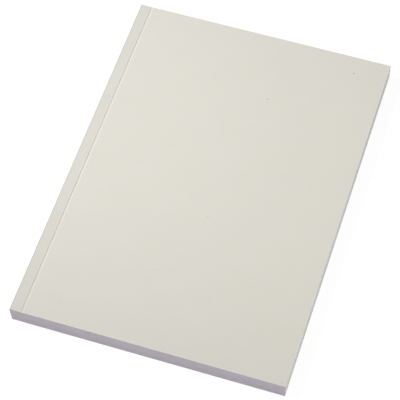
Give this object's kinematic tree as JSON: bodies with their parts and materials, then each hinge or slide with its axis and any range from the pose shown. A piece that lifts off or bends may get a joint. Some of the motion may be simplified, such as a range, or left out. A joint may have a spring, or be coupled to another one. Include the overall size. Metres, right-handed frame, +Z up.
{
  "type": "softcover notebook",
  "caption": "Softcover notebook: a glued block of plain leaves in a folded card cover that opens front and back along pressed scores.",
  "frame": {"origin": "middle of the underside, on the surface that the closed notebook lies on", "axes": "+X from the spine to the fore edge, +Y from the tail to the head, +Z up through the leaves from the back cover to the front cover"},
  "size_m": [0.148, 0.21, 0.0105],
  "materials": {
    "cover_card": "matt uncoated cream card",
    "leaf_paper": "matt white paper",
    "binding_glue": "satin hot-melt glue"
  },
  "bodies": {
    "block": {"page_block": "leaf_paper", "spine_glue": "binding_glue", "cover_spine": "cover_card"},
    "front_cover": {"front_cover": "cover_card"},
    "back_cover": {"back_cover": "cover_card"}
  },
  "joints": [
    {"name": "front_hinge", "type": "hinge", "parent": "block", "child": "front_cover", "pos_m": [-0.0675, 0, 0.0102], "axis": [0, -1, 0], "range_deg": [0, 175]},
    {"name": "back_hinge", "type": "hinge", "parent": "block", "child": "back_cover", "pos_m": [-0.0675, 0, 0], "axis": [0, 1, 0], "range_deg": [0, 175]}
  ]
}
